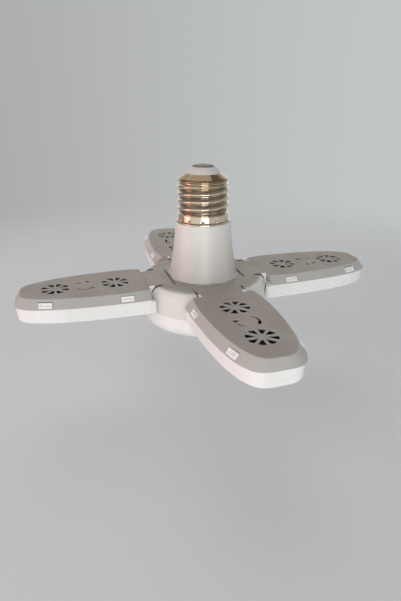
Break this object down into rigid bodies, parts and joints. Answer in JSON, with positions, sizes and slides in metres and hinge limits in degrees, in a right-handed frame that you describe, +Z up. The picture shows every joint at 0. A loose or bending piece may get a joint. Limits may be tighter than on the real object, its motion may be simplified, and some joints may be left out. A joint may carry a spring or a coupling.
{
  "type": "deformable garage light",
  "caption": "Screw-cap ceiling lamp with a round centre light and hinged light leaves that fold up beside its neck to aim the light.",
  "frame": {"origin": "centre of the screw cap's contact face, the lamp's highest point", "axes": "+Z up along the lamp's axis towards the lampholder; +X, +Y, -X and -Y each run along one flat leaf"},
  "size_m": [0.195, 0.195, 0.0824],
  "materials": {
    "contact": "worn solder",
    "insulator": "gloss",
    "cap_metal": "bright nickel",
    "housing": "gloss warm white",
    "cover": "satin warm grey",
    "diffuser": "gloss opal white",
    "plate": "satin",
    "light_board": "white solder resist",
    "chip": "phosphor in a white tray",
    "circuit_board": "solder resist",
    "capacitor": "sleeved",
    "transformer": "tape over a dark core",
    "screw": "zinc",
    "pin": "zinc",
    "washer": "spring steel",
    "lead": "insulated"
  },
  "bodies": {
    "hub": {"contact_button": "contact", "cap_insulator": "insulator", "screw_shell": "cap_metal", "cap_leads": "lead", "housing": "housing", "base_plate": "plate", "hub_screws": "screw", "hinge_pins": "pin", "friction_washers": "washer", "hub_leads": "lead", "driver_board": "circuit_board", "driver_capacitor": "capacitor", "driver_transformer": "transformer", "centre_board": "light_board", "centre_chips": "chip", "centre_diffuser": "diffuser"},
    "leaf_right": {"cover_right": "cover", "lens_right": "diffuser", "board_right": "light_board", "chips_right": "chip", "screws_right": "screw", "leads_right": "lead"},
    "leaf_back": {"cover_back": "cover", "lens_back": "diffuser", "board_back": "light_board", "chips_back": "chip", "screws_back": "screw", "leads_back": "lead"},
    "leaf_left": {"cover_left": "cover", "lens_left": "diffuser", "board_left": "light_board", "chips_left": "chip", "screws_left": "screw", "leads_left": "lead"},
    "leaf_front": {"cover_front": "cover", "lens_front": "diffuser", "board_front": "light_board", "chips_front": "chip", "screws_front": "screw", "leads_front": "lead"}
  },
  "joints": [
    {"name": "hinge_right", "type": "hinge", "parent": "hub", "child": "leaf_right", "pos_m": [0.02675, 0, -0.06152], "axis": [0, -1, 0], "range_deg": [0, 90]},
    {"name": "hinge_back", "type": "hinge", "parent": "hub", "child": "leaf_back", "pos_m": [0, 0.02675, -0.06152], "axis": [1, 0, 0], "range_deg": [0, 90]},
    {"name": "hinge_left", "type": "hinge", "parent": "hub", "child": "leaf_left", "pos_m": [-0.02675, 0, -0.06152], "axis": [0, 1, 0], "range_deg": [0, 90]},
    {"name": "hinge_front", "type": "hinge", "parent": "hub", "child": "leaf_front", "pos_m": [0, -0.02675, -0.06152], "axis": [-1, 0, 0], "range_deg": [0, 90]}
  ]
}
